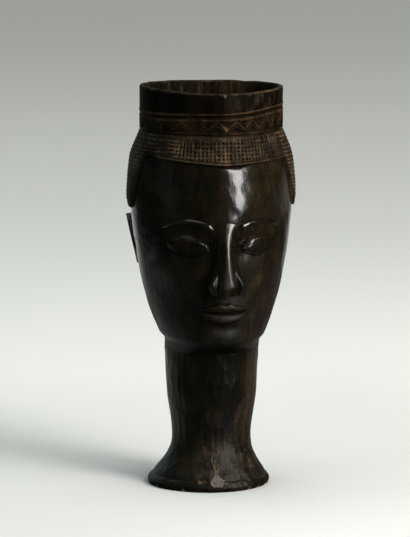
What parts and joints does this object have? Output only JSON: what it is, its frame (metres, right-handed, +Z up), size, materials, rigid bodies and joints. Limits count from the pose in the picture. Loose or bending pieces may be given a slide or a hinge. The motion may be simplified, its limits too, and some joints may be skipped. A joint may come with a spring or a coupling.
{
  "type": "figural cup",
  "caption": "Carved wooden drinking cup in the form of a human head: hollow head with a thin rim, zigzag collar and crosshatched hair, on a solid neck with a flared foot.",
  "frame": {"origin": "centre of the flat base, on the surface that the cup stands on", "axes": "+Z up along the cup's axis, the face looks along -Y, +X to the left of the figure"},
  "size_m": [0.1064, 0.118, 0.25],
  "materials": {
    "stem_wood": "dark oiled wood with tool marks, satin, worn brown on the right side",
    "polished_wood": "near-black hand-polished wood, glossy",
    "carved_wood": "dark carved wood, raised edges worn lighter, satin",
    "rim_wood": "dark wood with upright tool marks, worn at the lip, satin"
  },
  "bodies": {
    "root": {"foot": "stem_wood", "neck": "stem_wood", "head": "polished_wood", "hair": "carved_wood", "collar": "carved_wood", "rim": "rim_wood", "left_ear": "polished_wood", "right_ear": "polished_wood", "left_eye": "polished_wood", "right_eye": "polished_wood", "left_brow": "polished_wood", "right_brow": "polished_wood", "nose": "polished_wood", "upper_lip": "polished_wood", "lower_lip": "polished_wood"}
  },
  "joints": []
}
